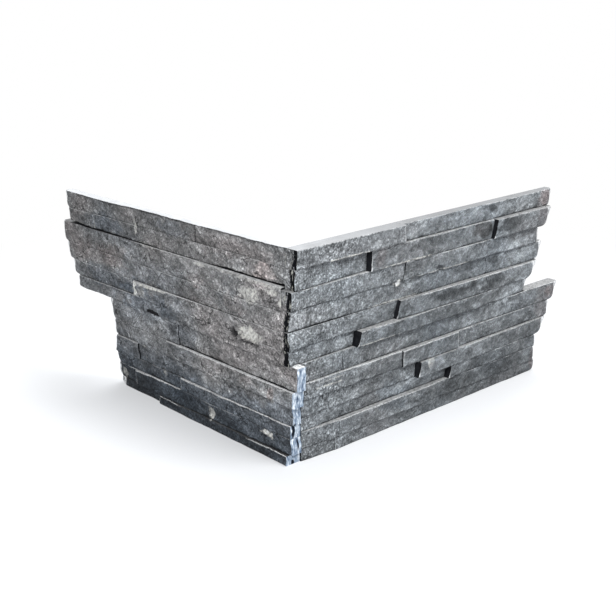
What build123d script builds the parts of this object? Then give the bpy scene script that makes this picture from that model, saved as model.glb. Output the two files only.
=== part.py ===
from build123d import *
from itertools import accumulate
import os

# Slate veneer corner: two wings of split slate strips, stacked in courses and bonded at their sawn edges.
# The flat backs meet in the inner corner at X = 0, Y = 0, and the bed is at Z = 0, in millimetres.
# The right wing runs along +X with its back on Y = 0, and the left wing along +Y with its back on X = 0.
# In the upper half the right wing's strips run through the corner, in the lower half the left wing's do.

# Heights of the two halves
UPPER_HEIGHT = 79.0
LOWER_HEIGHT = 71.0

# Reach of each wing's back, from the inner corner to its far end.
# The left wing's lower half is shorter: the step at its end locks into the next panel.
RIGHT_UPPER_REACH = 254.0
RIGHT_LOWER_REACH = 259.0
LEFT_UPPER_REACH = 268.0
LEFT_LOWER_REACH = 205.0

# The course or the strip that takes up what its neighbours leave
REST = None

# Courses from the top down. Each has its height, how far its ragged end passes the wing's reach,
# and its strips from the corner outwards: length, then thickness at the near and at the far end.
RIGHT_UPPER = [
    (13.0, 17.5, [(98.0, 11.5, 12.0), (REST, 8.0, 7.5)]),
    (14.5, 8.5, [(63.5, 10.0, 5.5), (REST, 11.5, 9.5), (67.5, 13.5, 13.0)]),
    (13.5, 0.0, [(97.0, 9.5, 9.0), (REST, 10.5, 10.5), (65.0, 10.0, 10.0)]),
    (14.0, 4.0, [(91.0, 7.5, 7.5), (REST, 7.5, 7.5), (66.0, 7.5, 9.0)]),
    (13.0, -6.5, [(90.5, 8.0, 7.0), (REST, 11.0, 12.5), (59.5, 12.0, 12.0)]),
    (REST, -12.5, [(50.5, 7.5, 5.5), (REST, 12.5, 12.5), (77.0, 12.5, 9.0)]),
]
RIGHT_LOWER = [
    (14.0, 21.5, [(39.0, 8.0, 8.0), (REST, 8.0, 8.5), (85.0, 9.0, 10.5)]),
    (12.5, 12.5, [(96.0, 10.0, 11.0), (61.5, 12.5, 12.5), (REST, 10.5, 10.5)]),
    (12.5, 3.0, [(111.5, 8.0, 8.5), (42.0, 14.0, 14.0), (REST, 13.0, 13.0)]),
    (10.0, -5.0, [(147.0, 7.0, 7.0), (REST, 12.5, 12.5)]),
    (12.5, -5.5, [(32.5, 8.0, 11.0), (REST, 11.5, 12.0)]),
    (REST, -3.0, [(29.0, 7.5, 10.0), (REST, 10.5, 11.0)]),
]
LEFT_UPPER = [
    (13.0, 1.0, [(95.0, 4.5, 6.0), (76.5, 6.5, 7.0), (REST, 7.0, 8.0)]),
    (13.0, -2.0, [(111.0, 5.0, 6.5), (REST, 6.5, 7.5), (47.0, 7.5, 8.5)]),
    (16.5, 8.0, [(166.0, 8.5, 8.5), (REST, 8.5, 8.5)]),
    (14.0, 3.0, [(118.0, 9.0, 9.0), (REST, 9.0, 8.5)]),
    (12.5, -3.0, [(173.0, 9.5, 12.0), (REST, 8.0, 8.0)]),
    (REST, -10.0, [(139.0, 9.5, 10.0), (REST, 9.5, 9.0)]),
]
LEFT_LOWER = [
    (REST, 5.0, [(119.0, 8.0, 7.0), (REST, 8.0, 8.0)]),
    (12.0, 3.0, [(134.0, 10.0, 10.5), (REST, 8.5, 8.0)]),
    (13.5, 0.0, [(84.0, 8.0, 8.5), (REST, 8.0, 8.0), (32.0, 10.0, 10.0)]),
    (9.5, 0.0, [(118.5, 9.0, 10.5), (REST, 8.5, 8.5)]),
    (12.0, -2.5, [(REST, 9.5, 11.0), (25.0, 8.5, 8.5)]),
    (7.0, -9.0, [(REST, 13.0, 12.0), (51.0, 9.0, 9.5)]),
]

# How far the strips that run through the corner pass the other wing's face there, from the top down
RIGHT_UPPER_PASS = [-1.0, 0.0, -0.5, 0.0, 0.0, 0.0]
LEFT_LOWER_PASS = [5.0, 0.5, 0.0, 0.0, -1.0, -1.5]


def fill_rest(sizes, total):
    """The sizes in order, with the open one set to what the others leave of the total."""
    given = sum(size for size in sizes if size is not REST)
    return [total - given if size is REST else size for size in sizes]


def through_starts(other_wing, passes):
    """Corner ends of the courses that run through: past the near faces of the other wing's courses."""
    return [-(strips[0][1] + extra) for (_, _, strips), extra in zip(other_wing, passes)]


def butted_starts(courses):
    """Corner ends of the courses that butt against the back of the other wing."""
    return [0.0 for _ in courses]


def right_plan(start, near, end, far):
    """Plan of a strip on the right wing: sawn back on Y = 0, split face towards -Y."""
    return Polyline((start, 0), (end, 0), (end, -far), (start, -near), close=True)


def left_plan(start, near, end, far):
    """Plan of a strip on the left wing: sawn back on X = 0, split face towards -X."""
    return Polyline((0, start), (-near, start), (-far, end), (0, end), close=True)


def lay_half(wing, plan, first_course, courses, starts, reach, top, height):
    """Lay one half of a wing from its top down, and write each strip as a solid of its own."""
    course_heights = fill_rest([course[0] for course in courses], height)
    bed = top
    for row, (_, ragged, strips) in enumerate(courses):
        bed -= course_heights[row]
        far_ends = list(accumulate(fill_rest([strip[0] for strip in strips], reach + ragged)))
        near_ends = [starts[row]] + far_ends[:-1]
        for place, (_, near, far) in enumerate(strips):
            outline = make_face(plan(near_ends[place], near, far_ends[place], far))
            strip = Pos(0, 0, bed) * extrude(outline, amount=course_heights[row], dir=(0, 0, 1))
            node = f"{wing}_course_{first_course + row:02d}_strip_{place + 1}"
            export_step(strip, f"parts/{node}.step")


os.makedirs("parts", exist_ok=True)

UPPER_TOP = LOWER_HEIGHT + UPPER_HEIGHT
FIRST_UPPER = 1
FIRST_LOWER = FIRST_UPPER + len(RIGHT_UPPER)

lay_half("right", right_plan, FIRST_UPPER, RIGHT_UPPER, through_starts(LEFT_UPPER, RIGHT_UPPER_PASS),
         RIGHT_UPPER_REACH, UPPER_TOP, UPPER_HEIGHT)
lay_half("right", right_plan, FIRST_LOWER, RIGHT_LOWER, butted_starts(RIGHT_LOWER),
         RIGHT_LOWER_REACH, LOWER_HEIGHT, LOWER_HEIGHT)
lay_half("left", left_plan, FIRST_UPPER, LEFT_UPPER, butted_starts(LEFT_UPPER),
         LEFT_UPPER_REACH, UPPER_TOP, UPPER_HEIGHT)
lay_half("left", left_plan, FIRST_LOWER, LEFT_LOWER, through_starts(RIGHT_LOWER, LEFT_LOWER_PASS),
         LEFT_LOWER_REACH, LOWER_HEIGHT, LOWER_HEIGHT)
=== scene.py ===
from math import radians

import bpy
import numpy as np
from mathutils import Matrix, Vector


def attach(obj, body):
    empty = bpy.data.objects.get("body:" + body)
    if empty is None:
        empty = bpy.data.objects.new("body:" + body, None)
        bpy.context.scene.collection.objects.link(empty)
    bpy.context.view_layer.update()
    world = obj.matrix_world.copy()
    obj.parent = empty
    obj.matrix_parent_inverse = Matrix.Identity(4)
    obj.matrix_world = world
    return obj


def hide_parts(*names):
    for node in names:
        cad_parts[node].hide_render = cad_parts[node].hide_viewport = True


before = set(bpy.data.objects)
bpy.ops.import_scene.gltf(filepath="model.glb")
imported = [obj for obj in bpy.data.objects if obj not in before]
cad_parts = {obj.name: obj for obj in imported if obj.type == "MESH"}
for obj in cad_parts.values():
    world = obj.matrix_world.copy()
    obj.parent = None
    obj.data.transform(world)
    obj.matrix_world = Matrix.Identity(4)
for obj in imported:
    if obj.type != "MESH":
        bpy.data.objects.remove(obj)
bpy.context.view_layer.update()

# Slate veneer corner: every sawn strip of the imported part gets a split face, worn arrises and a slate finish.
# Strips are worked out in millimetres: along their wing from the inner corner, out from the wall,
# and up from the bed.

MM = 0.001

# Fineness of the strips' grids, how far their rows crowd towards the beds,
# and the open joints above and below a strip and at its ends
CELL = 0.62
CELLS_DEEP = 4
BED_CROWDING = 0.08
BED_JOINT = 0.10
END_JOINT = 0.04
# Arrises sharper than this, in degrees, stay sharp
SHARP_ANGLE = 48.0
# Shift along the wing from one strip's grain to the next one's
GRAIN_SHIFT = 300.0

# Camera: place in millimetres, heading from +Y towards +X, downward tilt and roll in degrees,
# and lens in millimetres
CAMERA_PLACE = (-438.5, -503.9, 321.9)
CAMERA_HEADING = 41.97
CAMERA_TILT = 17.73
CAMERA_ROLL = -0.8
CAMERA_LENS = 62.4

# Point that the lamps are turned to, in metres, and the lamps: name, place and size in metres, power in watts
LAMP_AIM = Vector((0.05, 0.05, 0.07))
LAMPS = (
    ("right_lamp", (0.5, -0.9, 1.5), 0.9, 19.0),
    ("left_lamp", (-1.05, -0.95, 1.2), 0.5, 25.0),
    ("back_lamp", (0.7, 0.55, 1.5), 1.0, 18.0),
)
# Colour and strength of the light from all around
AMBIENT_COLOUR = (0.95, 0.975, 1.0, 1.0)
AMBIENT_STRENGTH = 0.28
# Floor: width in metres, colour, and how it fades to white between two distances from the corner
FLOOR_SIZE = 8.0
FLOOR_COLOUR = (0.8, 0.815, 0.84, 1.0)
FLOOR_FADE = (("From Min", 0.3), ("From Max", 0.7), ("To Min", 0.25), ("To Max", 1.0))

# Lightness of the split stone by course, from the top down, and how it changes from the corner
# to the place where the change ends
TONES = {
    "right": (0.225, 0.185, 0.195, 0.19, 0.185, 0.175, 0.19, 0.18, 0.175, 0.165, 0.16, 0.145),
    "left": (0.19, 0.195, 0.205, 0.205, 0.2, 0.2, 0.195, 0.18, 0.135, 0.092, 0.072, 0.042),
}
TONE_ENDS = {"right": (1.1, 0.91), "left": (1.12, 0.88)}
TONE_REACH = 260.0
# Tint as red, green and blue, and strength of the warm and cool clouds
TINTS = {"right": (0.935, 1.0, 1.05), "left": (0.99, 1.0, 1.01)}
HUE_CLOUDS = {"right": 0.025, "left": 0.045}
# Coolness of the wing's foot, the height at which it starts, and the height over which it grows
LOW_COOLNESS = {"right": 0.0, "left": 0.16}
COOL_START = 55.0
COOL_HEIGHT = 40.0
# Painted shadow over the joint at each course's foot, its height, and strength of the painted light and shade
# of the relief
FOOT_SHADOW = {"right": 0.7, "left": 0.35}
FOOT_SHADE = 1.3
RELIEF_SHADE_STRENGTH = {"right": 0.7, "left": 1.0}

# Lightness of the sawn sides: beds and top edge by wing, far ends and backs alike. The left wing's
# paler beds and top edge carry a painted highlight. The top edge and the left wing's beds darken
# between two places along the wing.
BED_TONES_AND_HIGHLIGHTS = {"right": 0.5, "left": 0.95}
DARK_BEDS = {("left", 12): 0.1}
TOP_TONES_AND_HIGHLIGHTS = {"right": ((0.0, 130.0), (0.42, 0.25)), "left": ((0.0, 130.0), (0.6, 0.6))}
BACK_TONE = 0.3
BED_FADE = ((150.0, 220.0), (1.0, 0.35))

# Lightness, with a painted highlight, of the bared ledge on a strip that starts this far out past the corner
LEDGE_START = -12.0
LEDGE_HIGHLIGHT = 1.35

# Strength of the cleft relief, coarseness of the grain at the corner and from a place further out,
# and seed of each wing's stone.
# On the right wing each strip was split by itself, on the left wing the relief runs on from strip to strip.
RELIEF = {"right": 0.6, "left": 1.0}
GRIT = {"right": (1.0, 0.2), "left": (0.7, 0.4)}
GRIT_REACH = 100.0
SEEDS = {"right": 3, "left": 8}
STRIP_SEEDS = {"right": 5, "left": 0}
# Strength of the fine cracks, and of the light and dark patches
CRACKS = {"right": 0.25, "left": 0.8}
PATCHES = {"right": 0.19, "left": 0.25}

# Step at which an arris stands plainly proud, and how far past a strip's end its neighbour is looked for
PROUD_STEP = 2.5
BESIDE = 1.0
# Wear of the top course's upper arris, as a share of a proud one's
TOP_LEDGE = 0.25

# Length over which a strip changes towards its ragged far end, its slot and its corner end
END_REACH = 20.0
SLOT_REACH = 12.0
CORNER_REACH = 8.0

# How far the top of each course's far end leans out past its foot, from the top course down
END_LEANS = {
    "right": (3.0, 10.0, 1.0, 8.0, 12.0, 6.0, 8.0, 3.0, 10.0, -2.0, -2.0, 0.0),
    "left": (5.0, 1.0, 3.0, 5.0, 5.0, 0.0, 6.0, 0.0, -2.0, 7.0, 0.0, 4.0),
}
# Rounding of the far ends' top and bottom corners, and of the arris where the face meets them
END_ROUND = (3.0, 2.0)
FOOT_ROUND = {"right": (6.0, 5.0), "left": (3.0, 1.0)}
END_FULLNESS = 2.8
FACE_ROUND = (4.0, 1.6)
# Courses whose far end reaches further out, and by how much
LONG_ENDS = {("left", 11): 2.0, ("left", 12): 4.0}
# Strips whose proud corner end has hardly any pale arris of wear and painted highlight, and their share of it
SHARP_ENDS = {"left_course_09_strip_3": 0.15}
# Strips whose corner end leans away from the corner at its top, and by how much
SLOT_LEANS = {
    "right_course_02_strip_2": 1.0,
    "right_course_02_strip_3": 4.0,
    "right_course_03_strip_2": 2.5,
    "right_course_05_strip_2": 4.0,
    "right_course_06_strip_2": 2.5,
    "right_course_09_strip_2": 1.5,
    "right_course_10_strip_2": 2.0,
}

# Joints that gape under a course: place along the wing, and height of the gap at the face.
# First the joint of a course that isn't listed.
CLOSED_JOINT = ((0.0, 0.0), (1.0, 0.0))
OPEN_JOINTS = {
    ("left", 2): ((0.0, 1.8), (70.0, 1.2), (90.0, 0.2), (160.0, 0.4), (270.0, 2.2)),
    ("left", 7): ((-8.0, 0.7), (120.0, 0.5), (135.0, 0.0)),
    ("right", 3): ((-8.0, 0.9), (20.0, 0.6), (32.0, 0.0)),
    ("right", 4): ((-8.0, 1.0), (45.0, 0.7), (60.0, 0.0)),
}

# Width of the black band of painted shade on the right wing's corner ends, from the top course down
SHADE_BAND_WIDTHS = (4.6, 4.6, 4.4, 4.2, 5.2, 5.6)
# Holes in the left wing's corner ends, dark with painted shade: place out from the wall, height, half width,
# half height.
# Along the wing they are so long, in metres, that the place there has no effect.
NO_EFFECT_ALONG = 1000.0
CORNER_HOLES = (
    (6.4, 25.0, 1.7, 6.5),
    (3.0, 13.5, 0.9, 5.0),
    (6.5, 1.5, 1.6, 2.5),
)

# Pale broken lines along the top arris of a course, wear with a painted highlight: place along the wing, and
# strength there.
# First the line of a course that isn't listed, and the lines' width on each wing.
PLAIN_LINE = ((0.0, 0.7), (1.0, 0.7))
LINE_WIDTHS = {"right": 0.85, "left": 0.55}
PALE_LINES = {
    ("left", 1): ((0.0, 0.0), (1.0, 0.0)),
    ("left", 2): ((0.0, 0.1), (160.0, 0.1), (170.0, 0.6)),
    ("left", 3): ((0.0, 0.7), (75.0, 0.7), (95.0, 0.2), (140.0, 0.2), (150.0, 0.9), (168.0, 0.9),
                  (172.0, 0.2)),
    ("left", 4): ((0.0, 0.2), (100.0, 0.3)),
    ("left", 5): ((85.0, 0.3), (100.0, 1.0), (173.0, 1.3)),
    ("left", 8): ((0.0, 2.0), (60.0, 1.8), (110.0, 1.4), (125.0, 0.3)),
    ("left", 9): ((170.0, 0.2), (178.0, 0.8), (205.0, 0.8)),
    ("left", 10): ((0.0, 1.8), (60.0, 1.4), (118.0, 1.4), (124.0, 0.2)),
    ("left", 11): ((118.0, 0.2), (124.0, 1.5), (182.0, 1.3), (190.0, 0.2)),
    ("left", 12): ((0.0, 1.8), (32.0, 1.2), (40.0, 0.1), (115.0, 0.1), (122.0, 1.2), (148.0, 1.0),
                   (152.0, 0.1)),
    ("right", 3): ((0.0, 0.5), (60.0, 0.9), (200.0, 0.7)),
    ("right", 5): ((115.0, 0.4), (126.0, 1.2), (235.0, 1.0)),
    ("right", 7): ((180.0, 0.4), (200.0, 1.1), (260.0, 0.9)),
    ("right", 8): ((0.0, 1.0), (150.0, 0.9), (250.0, 0.5)),
    ("right", 9): ((150.0, 0.3), (165.0, 0.8), (260.0, 0.7)),
    ("right", 11): ((0.0, 0.5), (30.0, 0.9), (250.0, 0.6)),
}

# Large soft stains on the split faces, and dark patches of painted shade under ledges, in millimetres:
# wing, place along it, height, half length, half height, lightness and warmth
STAINS_AND_SHADE = (
    ("right", -4.0, 115.0, 9.0, 50.0, 0.35, 0.0),
    ("right", 230.0, 98.0, 36.0, 26.0, 0.5, 0.0),
    ("right", 225.0, 28.0, 60.0, 26.0, -0.12, 0.0),
    ("right", 262.0, 122.0, 14.0, 30.0, 0.0, 0.05),
    ("right", 264.0, 52.0, 12.0, 22.0, 0.0, 0.05),
    ("right", 264.0, 144.0, 8.0, 9.0, 0.0, 0.09),
    ("right", 278.0, 65.0, 9.0, 9.0, 0.0, 0.1),
    ("right", 256.0, 10.0, 9.0, 16.0, 0.0, 0.11),
    ("right", 198.0, 146.0, 5.0, 4.0, -0.6, 0.0),
    ("right", 232.0, 144.0, 30.0, 7.0, 0.2, 0.0),
    ("right", 72.0, 131.0, 8.0, 7.0, -0.05, 0.05),
    ("right", 150.0, 108.0, 70.0, 36.0, -0.12, 0.0),
    ("right", 184.0, 131.0, 12.0, 7.0, -0.8, 0.05),
    ("right", 120.0, 131.0, 20.0, 7.0, -0.5, 0.0),
    ("right", 215.0, 131.0, 18.0, 8.0, -0.8, 0.0),
    ("right", 160.0, 117.0, 20.0, 7.0, 0.2, 0.0),
    ("right", 202.0, 105.0, 8.0, 6.0, -0.7, 0.0),
    ("right", 182.0, 108.0, 9.0, 6.0, 0.2, 0.0),
    ("right", 108.0, 104.0, 14.0, 6.0, 0.35, 0.0),
    ("right", 146.0, 89.0, 20.0, 6.0, -0.85, 0.0),
    ("right", 209.0, 73.0, 14.0, 8.0, 0.25, 0.0),
    ("right", 196.0, 90.5, 26.0, 7.0, -0.85, 0.0),
    ("right", 100.0, 88.0, 9.0, 7.0, -0.3, 0.0),
    ("right", 140.0, 76.0, 30.0, 7.0, -0.25, 0.0),
    ("right", 60.0, 66.0, 30.0, 7.0, -0.2, 0.0),
    ("right", 40.0, 132.0, 40.0, 10.0, 0.12, 0.0),
    ("right", 80.0, 60.0, 22.0, 7.0, -0.15, 0.0),
    ("right", 142.0, 50.0, 34.0, 8.0, -0.3, 0.0),
    ("right", 32.0, 42.0, 20.0, 9.0, -0.18, 0.0),
    ("right", 32.0, 50.5, 22.0, 5.0, -0.25, 0.0),
    ("right", 106.0, 57.5, 24.0, 5.0, -0.25, 0.0),
    ("right", 162.0, 38.0, 16.0, 6.0, -0.25, 0.0),
    ("right", 222.0, 72.0, 36.0, 5.0, 0.35, 0.0),
    ("right", 145.0, 26.0, 16.0, 5.0, 0.2, 0.0),
    ("right", 165.0, 70.0, 120.0, 90.0, 0.0, -0.015),
    ("right", 88.0, 24.0, 18.0, 14.0, 0.0, -0.03),
    ("right", 30.0, 64.0, 16.0, 6.0, -0.2, 0.0),
    ("right", 16.0, 90.0, 24.0, 6.0, -0.2, 0.0),
    ("right", 97.0, 128.0, 12.0, 6.0, -0.25, 0.0),
    ("right", 108.0, 28.0, 42.0, 7.0, 0.38, 0.0),
    ("right", 128.0, 42.0, 12.0, 7.0, 0.3, 0.0),
    ("right", 140.0, 18.0, 60.0, 7.0, -0.3, 0.0),
    ("left", 105.0, 98.0, 16.0, 8.0, -0.5, 0.03),
    ("left", 215.0, 132.0, 28.0, 9.0, -0.3, -0.07),
    ("left", 122.0, 142.0, 26.0, 8.0, 0.1, -0.06),
    ("left", 205.0, 108.0, 28.0, 10.0, -0.1, 0.05),
    ("left", 238.0, 114.0, 8.0, 9.0, -0.4, 0.02),
    ("left", 255.0, 118.0, 18.0, 30.0, 0.1, 0.03),
    ("left", 215.0, 88.0, 40.0, 10.0, -0.2, -0.06),
    ("left", 128.0, 78.0, 14.0, 9.0, -0.4, -0.03),
    ("left", 160.0, 78.0, 40.0, 16.0, 0.05, -0.05),
    ("left", 95.0, 110.0, 14.0, 6.0, 0.25, 0.03),
    ("left", 60.0, 140.0, 60.0, 8.0, -0.1, 0.02),
    ("left", 130.0, 150.0, 150.0, 1.6, -0.8, 0.0),
    ("left", 20.0, 130.0, 14.0, 7.0, 0.2, 0.04),
    ("left", 30.0, 62.0, 40.0, 10.0, 0.1, 0.0),
    ("left", 75.0, 36.0, 18.0, 11.0, 0.45, 0.04),
    ("left", 28.0, 18.0, 36.0, 10.0, 0.4, 0.02),
    ("left", 135.0, 104.0, 16.0, 9.0, 0.25, 0.0),
    ("left", 18.0, 104.0, 9.0, 8.0, -0.25, 0.0),
    ("left", 50.0, 103.0, 16.0, 9.0, 0.0, 0.04),
    ("left", 79.0, 59.0, 14.0, 7.0, 0.2, 0.0),
    ("left", 92.0, 65.0, 15.0, 7.0, 0.2, 0.0),
    ("left", 56.0, 58.0, 14.0, 6.0, 0.18, 0.0),
    ("left", 152.0, 58.0, 66.0, 44.0, 0.0, -0.035),
    ("left", 30.0, 85.0, 60.0, 60.0, 0.0, 0.02),
    ("left", 32.0, 42.0, 22.0, 10.0, 0.0, 0.04),
    ("left", 69.0, 127.0, 14.0, 8.0, 0.15, 0.0),
    ("left", 12.0, 45.0, 4.0, 7.0, 0.0, 0.10),
    ("left", 150.0, 12.0, 70.0, 14.0, -0.35, -0.03),
)

# Chips in the split faces, in millimetres: wing, place along it, height, half length, half height,
# depth, and paleness of the bared stone (below zero for painted shade, in pits, cracks and under chips)
CHIPS = (
    ("left", 35.0, 83.5, 15.0, 6.5, 2.0, 1.7),
    ("left", 51.0, 80.5, 4.5, 5.5, 2.6, -1.0),
    ("left", 36.0, 77.4, 14.0, 1.2, 1.0, -0.9),
    ("left", 32.0, 112.5, 13.0, 6.0, 0.9, 1.1),
    ("left", -1.0, 113.5, 4.0, 7.5, 0.4, 1.4),
    ("left", 8.0, 119.0, 7.0, 2.4, 0.3, 1.0),
    ("left", 171.2, 87.3, 2.6, 5.8, 0.3, 1.8),
    ("left", 170.4, 91.4, 4.0, 2.2, 0.4, 1.6),
    ("left", 171.0, 136.0, 1.8, 7.0, 0.2, 0.8),
    ("left", 228.0, 128.0, 1.2, 6.0, 0.2, 0.6),
    ("left", 88.0, 122.5, 9.0, 1.2, 0.2, 0.9),
    ("left", 155.0, 124.6, 13.0, 1.6, 0.8, 0.9),
    ("left", 166.0, 85.5, 13.0, 4.0, 0.6, 0.5),
    ("left", 165.0, 41.5, 2.5, 1.3, 0.5, 1.0),
    ("left", 164.0, 33.0, 1.8, 1.3, 0.4, 0.7),
    ("left", 140.0, 27.5, 3.0, 3.5, 0.5, 0.5),
    ("left", 149.0, 72.5, 9.0, 2.2, 1.4, -1.8),
    ("left", 150.0, 92.8, 24.0, 1.3, 0.2, 1.6),
    ("left", 125.0, 65.0, 6.5, 5.0, 0.4, -0.6),
    ("left", 79.0, 12.5, 4.4, 5.8, 0.6, 0.7),
    ("left", 79.5, 9.5, 2.6, 2.2, 0.6, 1.4),
    ("left", 18.5, 16.0, 6.5, 2.6, 0.9, 2.6),
    ("left", 12.5, 14.0, 1.0, 3.6, 0.6, 1.2),
    ("left", 22.0, 13.0, 6.0, 1.0, 0.6, -0.9),
    ("left", 34.0, 123.0, 42.0, 1.3, 0.1, 0.6),
    ("left", 196.0, 11.0, 4.5, 5.0, 0.5, 0.6),
    ("right", 92.5, 108.5, 3.0, 2.6, 0.6, 4.0),
    ("right", 137.0, 111.0, 5.0, 2.8, 2.0, -0.8),
    ("right", 20.0, 42.5, 0.9, 2.6, 1.2, -1.0),
    ("right", 40.0, 137.8, 22.0, 0.7, 0.2, 1.4),
    ("right", 100.0, 123.2, 34.0, 0.6, 0.2, 1.1),
    ("right", 140.0, 109.7, 32.0, 0.6, 0.2, 1.1),
    ("right", 70.0, 71.7, 20.0, 0.5, 0.2, 1.5),
    ("right", 24.0, 50.5, 15.0, 0.5, 0.2, 0.9),
    ("right", 28.0, 54.0, 12.0, 0.45, 0.2, 0.8),
    ("right", 124.0, 42.0, 4.0, 4.5, 0.3, 0.7),
    ("right", 92.0, 95.7, 30.0, 0.6, 0.2, 0.9),
)

# Colours of worn arrises with their painted highlight, bared stone, its whitest parts, painted shade in pits,
# joints, black painted shade on the ends, pale slivers in it, and painted shade in corner holes
WORN_AND_HIGHLIGHT_STONE = (0.85, 0.86, 0.87, 1.0)
BARED_STONE = (0.68, 0.675, 0.64, 1.0)
WHITE_STONE = (0.92, 0.93, 0.94, 1.0)
PIT_SHADE = (0.01, 0.01, 0.012, 1.0)
JOINT_BLACK = (0.006, 0.0065, 0.008, 1.0)
SHADE_BLACK = (0.004, 0.0045, 0.006)
SLIVER_STONE = (0.5, 0.5, 0.46, 1.0)
HOLE_SHADE = (0.005, 0.008, 0.015, 1.0)

# Random values that all the noise is blended from
LATTICE_SIZE = 256
LATTICE = np.random.default_rng(7).random((LATTICE_SIZE, LATTICE_SIZE))


def smooth(t):
    """Eased step from 0 to 1: three t squared less two t cubed, held flat outside."""
    t = np.clip(t, 0.0, 1.0)
    return t * t * (3.0 - 2.0 * t)


def noise(u, v, seed):
    """Value noise from -1 to 1: random values on a unit lattice, blended by an eased step between corners."""
    u = u + 17.31 * seed
    v = v + 41.77 * seed
    iu = np.floor(u).astype(int)
    iv = np.floor(v).astype(int)
    fu = smooth(u - iu)
    fv = smooth(v - iv)
    lo_u, hi_u = iu % LATTICE_SIZE, (iu + 1) % LATTICE_SIZE
    lo_v, hi_v = iv % LATTICE_SIZE, (iv + 1) % LATTICE_SIZE
    below = LATTICE[lo_u, lo_v] * (1 - fu) + LATTICE[hi_u, lo_v] * fu
    above = LATTICE[lo_u, hi_v] * (1 - fu) + LATTICE[hi_u, hi_v] * fu
    return 2.0 * (below * (1 - fv) + above * fv) - 1.0


def layered_noise(u, v, seed, octaves):
    """Noise added up in octaves: each is twice as fine and half as strong as the one before."""
    total = np.zeros_like(u)
    for octave in range(octaves):
        total += noise(u * 2 ** octave, v * 2 ** octave, seed + octave) / 2 ** octave
    return total


def terraces(height, rise):
    """Flat shelves with steep risers: whole steps of the height, each climbed in its last fifth."""
    steps = height / rise
    whole = np.floor(steps)
    return rise * (whole + smooth((steps - whole - 0.8) / 0.2))


def split_relief(u, z, seed):
    """Cleft face in millimetres: a slow swell, thin flakes that end in low risers, creases and fine grain."""
    swell = 0.5 * noise(u / 46.0, z / 25.0, seed)
    bend = 0.3 * noise(u / 30.0, z / 18.0, seed + 2)
    flakes = layered_noise(u / 24.0 - z / 20.0 + bend, z / 14.0 + bend, seed + 3, 4)
    creases = 0.35 * (1.0 - np.abs(noise(u / 7.0 - z / 8.0, z / 7.0 + u / 30.0, seed + 5))) ** 3
    grain = 0.18 * noise(u / 3.0, z / 3.4, seed + 7) + 0.12 * noise(u / 1.5, z / 1.9, seed + 9)
    return swell + 0.8 * terraces(1.1 * flakes, 0.36) + creases + grain


def relief_shade(u, z, seed):
    """Painted light and shade of the relief: crests and slopes that face up are over nought, creases and
    undercuts below it.

    The relief is compared with itself a little higher, lower and to each side."""
    reach = 0.8
    above, below = split_relief(u, z + reach, seed), split_relief(u, z - reach, seed)
    beside = split_relief(u - reach, z, seed) + split_relief(u + reach, z, seed)
    crest = split_relief(u, z, seed) - (above + below + beside) / 4.0
    return 0.35 * np.tanh((below - above) / 0.4) + 0.5 * np.tanh(crest / 0.15)


def edge_break(distance, width, drop):
    """Depth lost near an arris: the drop at the edge, fading as a square over the width."""
    return drop * np.clip(1.0 - distance / width, 0.0, 1.0) ** 2


def block_shell(cells_along, cells_up, cells_deep):
    """Shell of a block as joined grids: front, top, bottom and two ends, with one flat face for the back.

    Returns the vertices' places along, up and out as shares from 0 to 1, the four-sided faces of each side,
    and the ring of vertices round the back."""
    counts = (cells_along, cells_up, cells_deep)
    shape = [count + 1 for count in counts]
    along, up, out = np.indices(shape)
    on_shell = (along % cells_along == 0) | (up % cells_up == 0) | (out == cells_deep)
    index = np.full(shape, -1)
    index[on_shell] = np.arange(np.count_nonzero(on_shell))
    shares = [grid[on_shell] / count for grid, count in zip((along, up, out), counts)]

    def faces(grid):
        return np.stack([grid[:-1, :-1], grid[1:, :-1], grid[1:, 1:], grid[:-1, 1:]], axis=-1).reshape(-1, 4)

    sides = {
        "front": faces(index[:, :, -1])[:, ::-1],
        "top": faces(index[:, -1, :]),
        "bottom": faces(index[:, 0, :])[:, ::-1],
        "near_end": faces(index[0]),
        "far_end": faces(index[-1])[:, ::-1],
    }
    ring = np.concatenate([index[:, 0, 0], index[-1, 1:, 0], index[-2::-1, -1, 0], index[0, -2:0:-1, 0]])
    return shares, sides, ring


def chip_marks(wing, u, z):
    """Depth and paleness of the chips, a paleness below nought being painted shade: each is a dish over an
    ellipse whose edge is roughened by noise.
    """
    depth = np.zeros_like(u)
    pale = np.zeros_like(u)
    for chip_wing, place, height, half_length, half_height, deep, paleness in CHIPS:
        if chip_wing == wing:
            away = np.hypot((u - place) / half_length, (z - height) / half_height)
            inside = smooth(2.6 * (1.0 - away) + 0.8 * layered_noise(u / 2.6, z / 2.2, SEEDS[wing] + 13, 3))
            streaks = 0.75 + 0.55 * noise((u + z) / 1.6, (u - z) / 7.0, SEEDS[wing] + 15)
            depth += deep * inside * (0.8 + 0.3 * streaks)
            pale += paleness * inside * (streaks if paleness > 0.0 else 1.0)
    return depth, pale


def stain_and_shade_marks(wing, u, z):
    """Lightness and warmth of the stains and of the painted shade: each fades out over an ellipse whose edge is
    bent by noise.
    """
    light = np.zeros_like(u)
    warm = np.zeros_like(u)
    for stain_wing, place, height, half_length, half_height, lightness, warmth in STAINS_AND_SHADE:
        if stain_wing == wing:
            away = np.hypot((u - place) / half_length, (z - height) / half_height)
            inside = smooth(2.2 * (1.0 - away) + 0.8 * layered_noise(u / 7.0, z / 5.0, SEEDS[wing] + 27, 4))
            light += lightness * inside
            warm += warmth * inside
    return light, warm


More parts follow.
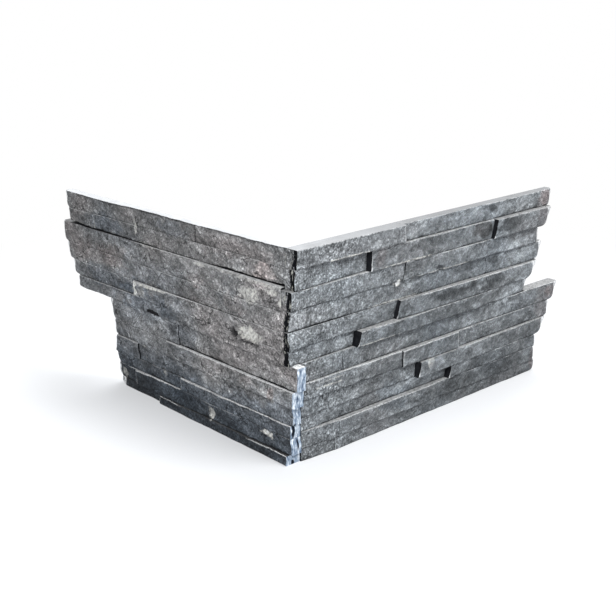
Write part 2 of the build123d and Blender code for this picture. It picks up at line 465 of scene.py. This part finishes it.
def stone_colour(wing, course, number, u, z, foot):
    """Colour of the split stone: the course's lightness under clouds, patches, streaks, stains with patches of
    painted shade, and painted light and shade of the relief.

    A painted shadow darkens it towards the joint at the course's foot."""
    seed = SEEDS[wing]
    near, far = TONE_ENDS[wing]
    clouds = 0.2 * layered_noise(u / 40.0, z / 26.0, seed + 17, 2)
    patches = PATCHES[wing] * layered_noise(u / 14.0 - z / 20.0, z / 9.0, number + 31, 4)
    streaks = 0.1 * noise((u - 0.5 * z) / 2.5, (z + 0.4 * u) / 10.0, number + 23)
    # Stains, and dark patches of painted shade under ledges
    stained_and_shaded, warmth = stain_and_shade_marks(wing, u, z)
    # Painted light and shade of the relief: paler on crests and on slopes that face up, darker in creases
    dust_and_shade = relief_shade(u, z, seed + STRIP_SEEDS[wing] * number)
    shade = clouds + patches + streaks + stained_and_shaded + RELIEF_SHADE_STRENGTH[wing] * dust_and_shade
    # Painted shadow at the course's foot, under the course above
    shade -= FOOT_SHADOW[wing] * smooth(1.0 - (z - foot) / FOOT_SHADE)
    along = near + (far - near) * np.clip(u / TONE_REACH, 0.0, 1.0)
    lightness = TONES[wing][course - 1] * along * np.exp(shade)
    warmth += HUE_CLOUDS[wing] * noise(u / 32.0, z / 20.0, seed + 19)
    warmth -= LOW_COOLNESS[wing] * smooth((COOL_START - z) / COOL_HEIGHT)
    red, green, blue = TINTS[wing]
    tint = np.stack([red + warmth, green - 0.3 * np.abs(warmth), blue - 0.6 * warmth], axis=-1)
    return np.concatenate([lightness[:, None] * tint, np.ones((len(u), 1))], axis=-1)


def strip_sizes(node):
    """A packed strip in millimetres: wing, course, ends along the wing, beds and thickness at each end."""
    wing, _, course, _, _ = node.split("_")
    corners = np.array([vertex.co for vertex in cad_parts[node].data.vertices]) / MM
    along, out = (corners[:, 0], -corners[:, 1]) if wing == "right" else (corners[:, 1], -corners[:, 0])
    middle = (along.min() + along.max()) / 2
    return {
        "wing": wing,
        "course": int(course),
        "ends": (along.min(), along.max()),
        "beds": (corners[:, 2].min(), corners[:, 2].max()),
        "thickness": (out[along < middle].max(), out[along > middle].max()),
    }


def face_depth(wing, course, u):
    """Thickness of a wing's course at places along it, and nought where it has no strip."""
    depth = np.zeros_like(u)
    for size in STRIPS.values():
        if (size["wing"], size["course"]) == (wing, course):
            (start, end), (near, far) = size["ends"], size["thickness"]
            share = (u - start) / (end - start)
            depth = np.where((share >= 0.0) & (share <= 1.0), near + (far - near) * share, depth)
    return depth


def depth_at(wing, course, place):
    """Thickness of a wing's course at one place along it."""
    return face_depth(wing, course, np.array([place]))[0]


def ends_course(node):
    """Whether a strip is the last of its course."""
    size = STRIPS[node]
    return depth_at(size["wing"], size["course"], size["ends"][1] + BESIDE) == 0.0


def next_strip(node):
    """Name of the strip that follows a strip outwards in its course."""
    course, number = node.rsplit("_", 1)
    return f"{course}_{int(number) + 1}"


def proud(step):
    """How plainly an arris stands proud of its neighbour: eased from 0 when flush to 1 at the proud step."""
    return smooth(step / PROUD_STEP)


def lay_strip(node, number, a, b, c):
    """Places of a strip's points along its wing and up, and its foot, from their shares along, up and out.

    The block is opened where its joint gapes. Its far end is ragged, leaning and rounded, its slots are
    slanted, and its corner end is roughened by noise."""
    size = STRIPS[node]
    wing, course = size["wing"], size["course"]
    (start, end), (bed, top), (near, _) = size["ends"], size["beds"], size["thickness"]
    u = start + END_JOINT / 2 + (end - start - END_JOINT) * a
    gap = np.interp(u, *zip(*OPEN_JOINTS.get((wing, course), CLOSED_JOINT))) * c
    gap = gap * (1.0 + 0.4 * noise(u / 5.0, 0.0 * u, number))
    foot = bed + BED_JOINT / 2 + gap
    z = foot + (top - BED_JOINT / 2 - foot) * b
    if ends_course(node):
        ragged = END_FULLNESS + LONG_ENDS.get((wing, course), 0.0) + END_LEANS[wing][course - 1] * (b - 0.5)
        ragged += 0.4 * noise(z / 5.0, 0.0 * z, number)
        ragged -= edge_break(top - z, *END_ROUND)
        ragged -= edge_break(z - foot, *(FOOT_ROUND[wing] if bed < 1.0 else END_ROUND))
        u = u + ragged * smooth(1.0 - (end - start) * (1.0 - a) / END_REACH)
    slanted_near = SLOT_LEANS.get(node, 0.0) * smooth(1.0 - (u - start) / SLOT_REACH)
    slanted_far = SLOT_LEANS.get(next_strip(node), 0.0) * smooth(1.0 - (end - u) / SLOT_REACH)
    u = u + (slanted_near + slanted_far) * b
    if start < 0.0:
        rough = 0.7 * layered_noise(z / 7.0, 0.0 * z, number + 41, 3)
        if wing == "right":
            recess = depth_at("left", course, 0.5) + start
            rough = 0.4 * rough - 0.8 * split_relief(-near * c, z, SEEDS["left"]) - recess
        u = u + rough * smooth(1.0 - (u - start) / CORNER_REACH)
    return u, z, foot


def side_finishes(node, number, u, sides):
    """Finish and sawn lightness of each face of a strip, side by side, with the back last."""
    size = STRIPS[node]
    wing, course, start = size["wing"], size["course"], size["ends"][0]
    finish_of = {"front": SPLIT, "top": BED, "bottom": BED, "near_end": END_SHADE, "far_end": SAWN}
    # The left wing's paler beds and top edge, and the ledge over a strip that starts far past the corner, carry
    # a painted highlight
    tones = {"top": DARK_BEDS.get((wing, course), BED_TONES_AND_HIGHLIGHTS[wing]), "bottom": BED_TONES_AND_HIGHLIGHTS[wing]}
    along_top = u[sides["top"][:, 0]]
    if wing == "left":
        tones["top"] = tones["top"] * np.interp(along_top, *BED_FADE)
    if course == 1:
        finish_of["top"] = SAWN
        tones["top"] = np.interp(along_top, *TOP_TONES_AND_HIGHLIGHTS[wing])
    if start < 0.0:
        finish_of["near_end"] = BONDED if wing == "right" else SNAPPED
    if start < LEDGE_START:
        tones["top"] = LEDGE_HIGHLIGHT
    plain = BACK_TONE * (1.0 + 0.25 * noise(np.array([0.5]), np.array([0.5]), number)[0])
    finishes = [np.full(len(faces), finish_of[name]) for name, faces in sides.items()]
    sawn = [np.full(len(faces), tones.get(name, plain)) for name, faces in sides.items()]
    return np.concatenate(finishes + [[SAWN]]), np.concatenate(sawn + [[plain]])


def split_strip(node, number):
    """One strip: a sawn block whose front stands out by its thickness and the relief of the split face."""
    size = STRIPS[node]
    wing, course = size["wing"], size["course"]
    (start, end), (bed, top), (near, far) = size["ends"], size["beds"], size["thickness"]
    last = ends_course(node)
    step_near = proud(near - depth_at(wing, course, start - BESIDE)) if start > 0.0 else 0.0
    step_far = proud(far - depth_at(wing, course, end + BESIDE))

    (a, b, c), sides, ring = block_shell(int((end - start) / CELL), int((top - bed) / CELL), CELLS_DEEP)
    b = b - BED_CROWDING * np.sin(2 * np.pi * b)
    u, z, foot = lay_strip(node, number, a, b, c)

    from_end = (end - start) * (1.0 - a)
    thickness = near + (far - near) * a
    above, below = face_depth(wing, course - 1, u), face_depth(wing, course + 1, u)
    ledge = proud(thickness - above) if course > 1 else np.full_like(u, TOP_LEDGE)
    overhang = proud(thickness - below)
    worn_and_lit = 0.5 + 0.5 * noise(u / 9.0, 0.0 * u + 0.3, number)
    broken = edge_break(top - z, 0.35 + ledge * (0.3 + 0.8 * worn_and_lit), 0.08 + ledge * (0.2 + 0.6 * worn_and_lit))
    broken += edge_break(z - foot, 0.35 + overhang * (0.3 + 0.8 * worn_and_lit), 0.08 + overhang * (0.3 + 0.6 * worn_and_lit))
    broken += edge_break(u - start, 0.3 + 1.2 * step_near, 0.06 + 0.8 * step_near)
    broken += edge_break(end - u, 0.3 + 1.2 * step_far, 0.06 + 0.8 * step_far)
    if last:
        broken += edge_break(from_end, *FACE_ROUND)
    chip_depth, pale = chip_marks(wing, u, z)
    calm = 1.0 - 0.6 * smooth(1.0 - from_end / 6.0) if last else 1.0
    if below.max() == 0.0:
        calm = calm * (1.0 - 0.7 * smooth(1.0 - (z - bed) / 4.0))
    relief = calm * RELIEF[wing] * split_relief(u, z, SEEDS[wing] + STRIP_SEEDS[wing] * number)
    out = c * (thickness + relief - chip_depth - broken)

    points = np.stack([u, -out, z] if wing == "right" else [-out, u, z], axis=-1) * MM
    faces = np.concatenate(list(sides.values()))
    if wing == "right":
        faces, ring = faces[:, ::-1], ring[::-1]
    mesh = bpy.data.meshes.new("split_" + node)
    mesh.from_pydata(points, [], faces.tolist() + [ring.tolist()])

    # Pale lines along the top arris: wear with a painted highlight, left out where the course above stands
    # proud and would shade them
    line = np.interp(u, *zip(*PALE_LINES.get((wing, course), PLAIN_LINE))) * (1.0 - proud(above - thickness))
    line = line * smooth(line + 0.3 + 0.9 * noise(u / 5.0, 0.0 * u + 0.6, number))
    upper_arris = line * smooth(1.0 - (top - z) / (LINE_WIDTHS[wing] * (0.6 + 0.8 * worn_and_lit)))
    # Pale arrises at proud ends: wear with a painted highlight
    near_arris = SHARP_ENDS.get(node, 1.0) * step_near ** 3 * smooth(1.0 - (u - start) / 1.4)
    far_arris = step_far ** 3 * smooth(1.0 - (end - u) / 1.8)
    wear_and_highlight = np.maximum(upper_arris, np.maximum(near_arris, far_arris)) * c
    corner_grit, far_grit = GRIT[wing]
    grit = far_grit + (corner_grit - far_grit) * smooth(1.0 - u / GRIT_REACH)
    grit = grit + 0.3 * noise(u / 22.0, z / 14.0, number)
    bare = out - np.where(b > 0.5, above, below)
    # Black band of painted shade on the right wing's corner ends
    shade_band = out - near + (SHADE_BAND_WIDTHS[course - 1] if wing == "right" and start < 0.0 else 0.0)
    crazed = np.full_like(u, CRACKS[wing])
    for name, values in (("pale", pale), ("wear_and_highlight", wear_and_highlight), ("grit", grit), ("bare", bare), ("shade_band", shade_band),
                         ("crazed", crazed)):
        mesh.attributes.new(name, "FLOAT", "POINT").data.foreach_set("value", values)
    stone = stone_colour(wing, course, number, u, z, foot)
    if wing == "right" and start < 0.0:
        left_stone = stone_colour("left", course, number, -out, z, foot)
        stone = np.where(((a == 0.0) & (c < 1.0))[:, None], left_stone, stone)
    mesh.attributes.new("stone", "FLOAT_COLOR", "POINT").data.foreach_set("color", stone.ravel())
    lay = np.stack([u + GRAIN_SHIFT * number, out, z], axis=-1) * MM
    mesh.attributes.new("lay", "FLOAT_VECTOR", "POINT").data.foreach_set("vector", lay.ravel())

    finishes, sawn = side_finishes(node, number, u, sides)
    mesh.attributes.new("sawn", "FLOAT", "FACE").data.foreach_set("value", sawn)
    for material in FINISHES:
        mesh.materials.append(material)
    mesh.polygons.foreach_set("material_index", finishes.astype(np.int32))
    mesh.polygons.foreach_set("use_smooth", np.ones(len(finishes), dtype=bool))
    mesh.set_sharp_from_angle(angle=radians(SHARP_ANGLE))
    mesh.update()

    piece = bpy.data.objects.new("split_" + node, mesh)
    bpy.context.scene.collection.objects.link(piece)
    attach(piece, "root")
    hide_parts(node)


def new_finish(name, roughness, gloss):
    """A new material, its cleared node tree, and one principled shader joined to the tree's output."""
    material = bpy.data.materials.new(name)
    material.use_nodes = True
    tree = material.node_tree
    tree.nodes.clear()
    output = tree.nodes.new("ShaderNodeOutputMaterial")
    shader = tree.nodes.new("ShaderNodeBsdfPrincipled")
    shader.inputs["Roughness"].default_value = roughness
    shader.inputs["Specular IOR Level"].default_value = gloss
    tree.links.new(shader.outputs["BSDF"], output.inputs["Surface"])
    return material, tree, shader


def attribute(tree, name, output):
    """Reads one of the strips' own attributes."""
    reader = tree.nodes.new("ShaderNodeAttribute")
    reader.attribute_name = name
    return reader.outputs[output]


def stretched_noise(tree, lay, scale, detail, roughness=0.55, slant=0.0):
    """Noise on the strip's own directions: scale per metre along, out and up, and slant in degrees."""
    mapping = tree.nodes.new("ShaderNodeMapping")
    mapping.vector_type = "TEXTURE"
    mapping.inputs["Rotation"].default_value = (0.0, radians(slant), 0.0)
    mapping.inputs["Scale"].default_value = [1.0 / part for part in scale]
    tree.links.new(lay, mapping.inputs["Vector"])
    texture = tree.nodes.new("ShaderNodeTexNoise")
    texture.inputs["Scale"].default_value = 1.0
    texture.inputs["Detail"].default_value = detail
    texture.inputs["Roughness"].default_value = roughness
    tree.links.new(mapping.outputs["Vector"], texture.inputs["Vector"])
    return texture.outputs["Fac"]


def crack_lines(tree, lay, scale):
    """Distance to the nearest crack, for cracks between random cells whose edges are bent by noise."""
    bends = tree.nodes.new("ShaderNodeTexNoise")
    bends.inputs["Scale"].default_value = 140.0
    tree.links.new(lay, bends.inputs["Vector"])
    shift = tree.nodes.new("ShaderNodeVectorMath")
    shift.operation = "MULTIPLY_ADD"
    shift.inputs[1].default_value = (0.012, 0.012, 0.012)
    tree.links.new(bends.outputs["Color"], shift.inputs[0])
    tree.links.new(lay, shift.inputs[2])
    stretch = tree.nodes.new("ShaderNodeVectorMath")
    stretch.operation = "MULTIPLY"
    stretch.inputs[1].default_value = scale
    tree.links.new(shift.outputs["Vector"], stretch.inputs[0])
    cells = tree.nodes.new("ShaderNodeTexVoronoi")
    cells.feature = "DISTANCE_TO_EDGE"
    cells.inputs["Scale"].default_value = 1.0
    tree.links.new(stretch.outputs["Vector"], cells.inputs["Vector"])
    return cells.outputs["Distance"]


def ramp(tree, factor, stops):
    """Colour ramp with the given places and colours; a plain number stands for a grey."""
    blend = tree.nodes.new("ShaderNodeValToRGB")
    while len(blend.color_ramp.elements) < len(stops):
        blend.color_ramp.elements.new(0.5)
    for element, (place, colour) in zip(blend.color_ramp.elements, stops):
        element.position = place
        element.color = (*colour, 1.0) if isinstance(colour, tuple) else (colour, colour, colour, 1.0)
    tree.links.new(factor, blend.inputs["Fac"])
    return blend.outputs["Color"]


def mix(tree, factor, low, high, blend_type="MIX"):
    """Mixes two colours by a factor; each may be a socket or a plain value."""
    node = tree.nodes.new("ShaderNodeMix")
    node.data_type = "RGBA"
    node.blend_type = blend_type
    for name, value in (("Factor", factor), ("A", low), ("B", high)):
        socket = next(s for s in node.inputs if s.name == name and s.enabled)
        if isinstance(value, bpy.types.NodeSocket):
            tree.links.new(value, socket)
        else:
            socket.default_value = value
    return next(s for s in node.outputs if s.enabled)


def maths(tree, operation, first, second):
    """One arithmetic step on two sockets or plain values."""
    node = tree.nodes.new("ShaderNodeMath")
    node.operation = operation
    for socket, value in zip(node.inputs, (first, second)):
        if isinstance(value, bpy.types.NodeSocket):
            tree.links.new(value, socket)
        else:
            socket.default_value = value
    return node.outputs["Value"]


def bump(tree, shader, height, distance, strength):
    """Small relief from a height socket, in metres."""
    node = tree.nodes.new("ShaderNodeBump")
    node.inputs["Strength"].default_value = strength
    node.inputs["Distance"].default_value = distance
    tree.links.new(height, node.inputs["Height"])
    tree.links.new(node.outputs["Normal"], shader.inputs["Normal"])


def cleft_stone(tree, lay):
    """Colour and height of cleft slate: grey stone, speckled, cracked and finely scratched."""
    mottle = stretched_noise(tree, lay, (90, 130, 120), 4, 0.65)
    scratches = stretched_noise(tree, lay, (700, 700, 300), 2, 0.6, 10.0)
    veins = stretched_noise(tree, lay, (120, 120, 150), 3, 0.6, 25.0)
    cracks = crack_lines(tree, lay, (45, 60, 75))
    grain = stretched_noise(tree, lay, (700, 700, 640), 3, 0.7)

    stone = attribute(tree, "stone", "Color")
    grit = attribute(tree, "grit", "Fac")
    crazing = ramp(tree, mottle, ((0.5, 0.0), (0.56, 1.0)))
    crazing = maths(tree, "MULTIPLY", crazing, attribute(tree, "crazed", "Fac"))
    vein_stops = ((0.39, 1.0), (0.42, 0.5), (0.45, 1.0), (0.53, 1.0), (0.56, 1.6), (0.59, 1.0))
    for factor, shade in (
        (1.0, ramp(tree, mottle, ((0.3, 0.72), (0.5, 0.97), (0.7, 1.3)))),
        (grit, ramp(tree, scratches, ((0.3, 0.72), (0.5, 1.0), (0.7, 1.35)))),
        (crazing, ramp(tree, cracks, ((0.012, 0.12), (0.045, 1.0)))),
        (1.0, ramp(tree, veins, vein_stops)),
        (grit, ramp(tree, grain, ((0.26, 0.1), (0.38, 0.55), (0.5, 0.97), (0.62, 1.65), (0.73, 3.4)))),
    ):
        stone = mix(tree, factor, stone, shade, "MULTIPLY")
    return stone, maths(tree, "ADD", scratches, grain)


def split_slate():
    """Split face: cleft slate, paler on chips and on arrises rubbed bare with a painted highlight, and with
    painted shade in pits.
    """
    material, tree, shader = new_finish("split_slate", 0.7, 0.1)
    stone, height = cleft_stone(tree, attribute(tree, "lay", "Vector"))
    flecks = ramp(tree, maths(tree, "MULTIPLY", height, 0.5), ((0.4, 0.25), (0.54, 1.0)))
    # Arrises pale with wear and a painted highlight
    worn_and_lit = maths(tree, "MULTIPLY", attribute(tree, "wear_and_highlight", "Fac"), flecks)
    stone = mix(tree, worn_and_lit, stone, WORN_AND_HIGHLIGHT_STONE)
    bared = maths(tree, "MULTIPLY", attribute(tree, "pale", "Fac"), flecks)
    stone = mix(tree, bared, stone, BARED_STONE)
    stone = mix(tree, maths(tree, "SUBTRACT", bared, 1.4), stone, WHITE_STONE)
    # Painted shade in pits, cracks and under chips
    pits = maths(tree, "MULTIPLY", attribute(tree, "pale", "Fac"), -0.9)
    stone = mix(tree, pits, stone, PIT_SHADE)
    tree.links.new(stone, shader.inputs["Base Color"])
    bump(tree, shader, height, 0.0016, 1.0)
    return material


def sawn_slate():
    """Sawn slate: dusty grey with faint saw lines."""
    material, tree, shader = new_finish("sawn_slate", 0.7, 0.35)
    lay = attribute(tree, "lay", "Vector")
    clouds = stretched_noise(tree, lay, (60, 60, 60), 4)
    lines = stretched_noise(tree, lay, (40, 1500, 1500), 2)
    stone = ramp(tree, clouds, ((0.3, (0.82, 0.84, 0.87)), (0.7, (1.03, 1.06, 1.1))))
    stone = mix(tree, 1.0, stone, ramp(tree, lines, ((0.3, 0.88), (0.7, 1.1))), "MULTIPLY")
    stone = mix(tree, 1.0, stone, attribute(tree, "sawn", "Fac"), "MULTIPLY")
    tree.links.new(stone, shader.inputs["Base Color"])
    bump(tree, shader, lines, 0.0002, 0.5)
    return material


def sawn_bed():
    """Bed of a strip: dull grey where it is bare, black inside the joint."""
    material, tree, shader = new_finish("sawn_bed", 0.7, 0.25)
    lay = attribute(tree, "lay", "Vector")
    grain = stretched_noise(tree, lay, (560, 560, 480), 3, 0.65)
    dust_and_shade = ramp(tree, grain, ((0.3, (0.28, 0.285, 0.29)), (0.7, (0.85, 0.86, 0.87))))
    stone = mix(tree, 1.0, dust_and_shade, attribute(tree, "sawn", "Fac"), "MULTIPLY")
    bare = ramp(tree, maths(tree, "ADD", attribute(tree, "bare", "Fac"), grain), ((0.3, 0.0), (0.9, 1.0)))
    stone = mix(tree, bare, JOINT_BLACK, stone)
    tree.links.new(stone, shader.inputs["Base Color"])
    bump(tree, shader, grain, 0.0004, 0.6)
    return material


def bonded_end():
    """Butt end at the corner: cleft stone, and a ragged black band of painted shade with pale slivers."""
    material, tree, shader = new_finish("bonded_end", 0.8, 0.05)
    lay = attribute(tree, "lay", "Vector")
    stone, height = cleft_stone(tree, lay)
    smears = stretched_noise(tree, lay, (500, 500, 130), 4, 0.65)
    edge = maths(tree, "ADD", maths(tree, "MULTIPLY", attribute(tree, "shade_band", "Fac"), 0.08), smears)
    # Ragged black band of painted shade
    stone = mix(tree, ramp(tree, edge, ((0.48, 0.0), (0.53, 1.0))), stone, (*SHADE_BLACK, 1.0))
    slivers = ramp(tree, smears, ((0.58, 0.0), (0.64, 0.8)))
    tree.links.new(mix(tree, slivers, stone, SLIVER_STONE), shader.inputs["Base Color"])
    bump(tree, shader, height, 0.0016, 1.0)
    return material


def shaded_end():
    """End that stands proud of the strip beside it: painted black as shade."""
    material, tree, shader = new_finish("shaded_end", 0.8, 0.05)
    smears = stretched_noise(tree, attribute(tree, "lay", "Vector"), (400, 400, 160), 4, 0.65)
    # Painted black, as shade on the proud end
    shade_band = ramp(tree, smears, ((0.3, SHADE_BLACK), (0.7, (0.02, 0.021, 0.024))))
    tree.links.new(shade_band, shader.inputs["Base Color"])
    bump(tree, shader, smears, 0.0006, 0.6)
    return material


def distance_to_hole(tree, lay, out, height, half_width, half_height):
    """How far a point of a corner end lies from a hole's middle: 1 on the upright ellipse round the hole."""
    mapping = tree.nodes.new("ShaderNodeMapping")
    mapping.vector_type = "TEXTURE"
    mapping.inputs["Location"].default_value = (0.0, out * MM, height * MM)
    mapping.inputs["Scale"].default_value = (NO_EFFECT_ALONG, half_width * MM, half_height * MM)
    tree.links.new(lay, mapping.inputs["Vector"])
    length = tree.nodes.new("ShaderNodeVectorMath")
    length.operation = "LENGTH"
    tree.links.new(mapping.outputs["Vector"], length.inputs[0])
    return length.outputs["Value"]


def snapped_end():
    """Snapped corner end: rough blue-white stone, with painted shade in its hollows and holes."""
    material, tree, shader = new_finish("snapped_end", 0.75, 0.1)
    lay = attribute(tree, "lay", "Vector")
    hollows = stretched_noise(tree, lay, (520, 520, 150), 4, 0.65)
    # The darkest hollows are painted shade
    stone = ramp(tree, hollows, (
        (0.3, (0.01, 0.015, 0.03)),
        (0.39, (0.14, 0.19, 0.27)),
        (0.52, (0.32, 0.39, 0.48)),
        (0.66, (0.82, 0.87, 0.92)),
    ))
    for hole in CORNER_HOLES:
        away = maths(tree, "MULTIPLY", maths(tree, "ADD", distance_to_hole(tree, lay, *hole), hollows), 0.5)
        # Hole filled with painted shade
        stone = mix(tree, ramp(tree, away, ((0.6, 1.0), (0.72, 0.0))), stone, HOLE_SHADE)
    tree.links.new(stone, shader.inputs["Base Color"])
    bump(tree, shader, hollows, 0.0012, 0.8)
    return material


def background_rays(tree):
    """1 for rays that see the plain background: from the camera, in gloss and through clear things."""
    path = tree.nodes.new("ShaderNodeLightPath")
    seen = maths(tree, "MAXIMUM", path.outputs["Is Camera Ray"], path.outputs["Is Glossy Ray"])
    return maths(tree, "MAXIMUM", seen, path.outputs["Is Transmission Ray"])


def pale_floor():
    """Plain pale floor: keeps soft shadows near the part and fades to white away from it."""
    bpy.ops.mesh.primitive_plane_add(size=FLOOR_SIZE)
    floor = bpy.context.object
    floor.name = "floor"
    material, tree, shader = new_finish("pale_floor", 0.9, 0.1)
    shader.inputs["Base Color"].default_value = FLOOR_COLOUR
    reach = tree.nodes.new("ShaderNodeVectorMath")
    reach.operation = "LENGTH"
    tree.links.new(tree.nodes.new("ShaderNodeTexCoord").outputs["Object"], reach.inputs[0])
    fading = tree.nodes.new("ShaderNodeMapRange")
    for name, value in FLOOR_FADE:
        fading.inputs[name].default_value = value
    tree.links.new(reach.outputs["Value"], fading.inputs["Value"])
    glow = tree.nodes.new("ShaderNodeEmission")
    blend = tree.nodes.new("ShaderNodeMixShader")
    whiteness = maths(tree, "MULTIPLY", background_rays(tree), fading.outputs["Result"])
    tree.links.new(whiteness, blend.inputs["Fac"])
    tree.links.new(shader.outputs["BSDF"], blend.inputs[1])
    tree.links.new(glow.outputs["Emission"], blend.inputs[2])
    tree.links.new(blend.outputs["Shader"], tree.nodes["Material Output"].inputs["Surface"])
    floor.data.materials.append(material)


def studio_light():
    """White surroundings, with soft lamps high on the right, on the left and behind."""
    world = bpy.data.worlds.new("studio")
    bpy.context.scene.world = world
    world.use_nodes = True
    tree = world.node_tree
    ambient = tree.nodes["Background"]
    ambient.inputs["Color"].default_value = AMBIENT_COLOUR
    ambient.inputs["Strength"].default_value = AMBIENT_STRENGTH
    white = tree.nodes.new("ShaderNodeBackground")
    white.inputs["Color"].default_value = (1.0, 1.0, 1.0, 1.0)
    blend = tree.nodes.new("ShaderNodeMixShader")
    tree.links.new(background_rays(tree), blend.inputs["Fac"])
    tree.links.new(ambient.outputs["Background"], blend.inputs[1])
    tree.links.new(white.outputs["Background"], blend.inputs[2])
    tree.links.new(blend.outputs["Shader"], tree.nodes["World Output"].inputs["Surface"])

    for name, place, size, power in LAMPS:
        lamp = bpy.data.lights.new(name, "AREA")
        lamp.size = size
        lamp.energy = power
        holder = bpy.data.objects.new(name, lamp)
        holder.location = place
        holder.rotation_euler = (Vector(place) - LAMP_AIM).to_track_quat("Z", "Y").to_euler()
        bpy.context.scene.collection.objects.link(holder)


def camera():
    """Camera at the photograph's viewing angle."""
    lens = bpy.data.cameras.new("camera")
    lens.lens = CAMERA_LENS
    lens.clip_start = 0.01
    holder = bpy.data.objects.new("camera", lens)
    holder.location = [MM * part for part in CAMERA_PLACE]
    turns = ((-CAMERA_HEADING, "Z"), (90.0 - CAMERA_TILT, "X"), (CAMERA_ROLL, "Z"))
    heading, tilt, roll = [Matrix.Rotation(radians(angle), 3, axis) for angle, axis in turns]
    holder.rotation_euler = (heading @ tilt @ roll).to_euler()
    bpy.context.scene.collection.objects.link(holder)
    bpy.context.scene.camera = holder


bpy.context.scene.view_settings.view_transform = "Standard"
FINISHES = (split_slate(), sawn_slate(), sawn_bed(), bonded_end(), shaded_end(), snapped_end())
SPLIT, SAWN, BED, BONDED, END_SHADE, SNAPPED = range(len(FINISHES))
STRIPS = {node: strip_sizes(node) for node in sorted(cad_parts)}
for number, strip_node in enumerate(STRIPS):
    split_strip(strip_node, number + 1)
pale_floor()
studio_light()
camera()
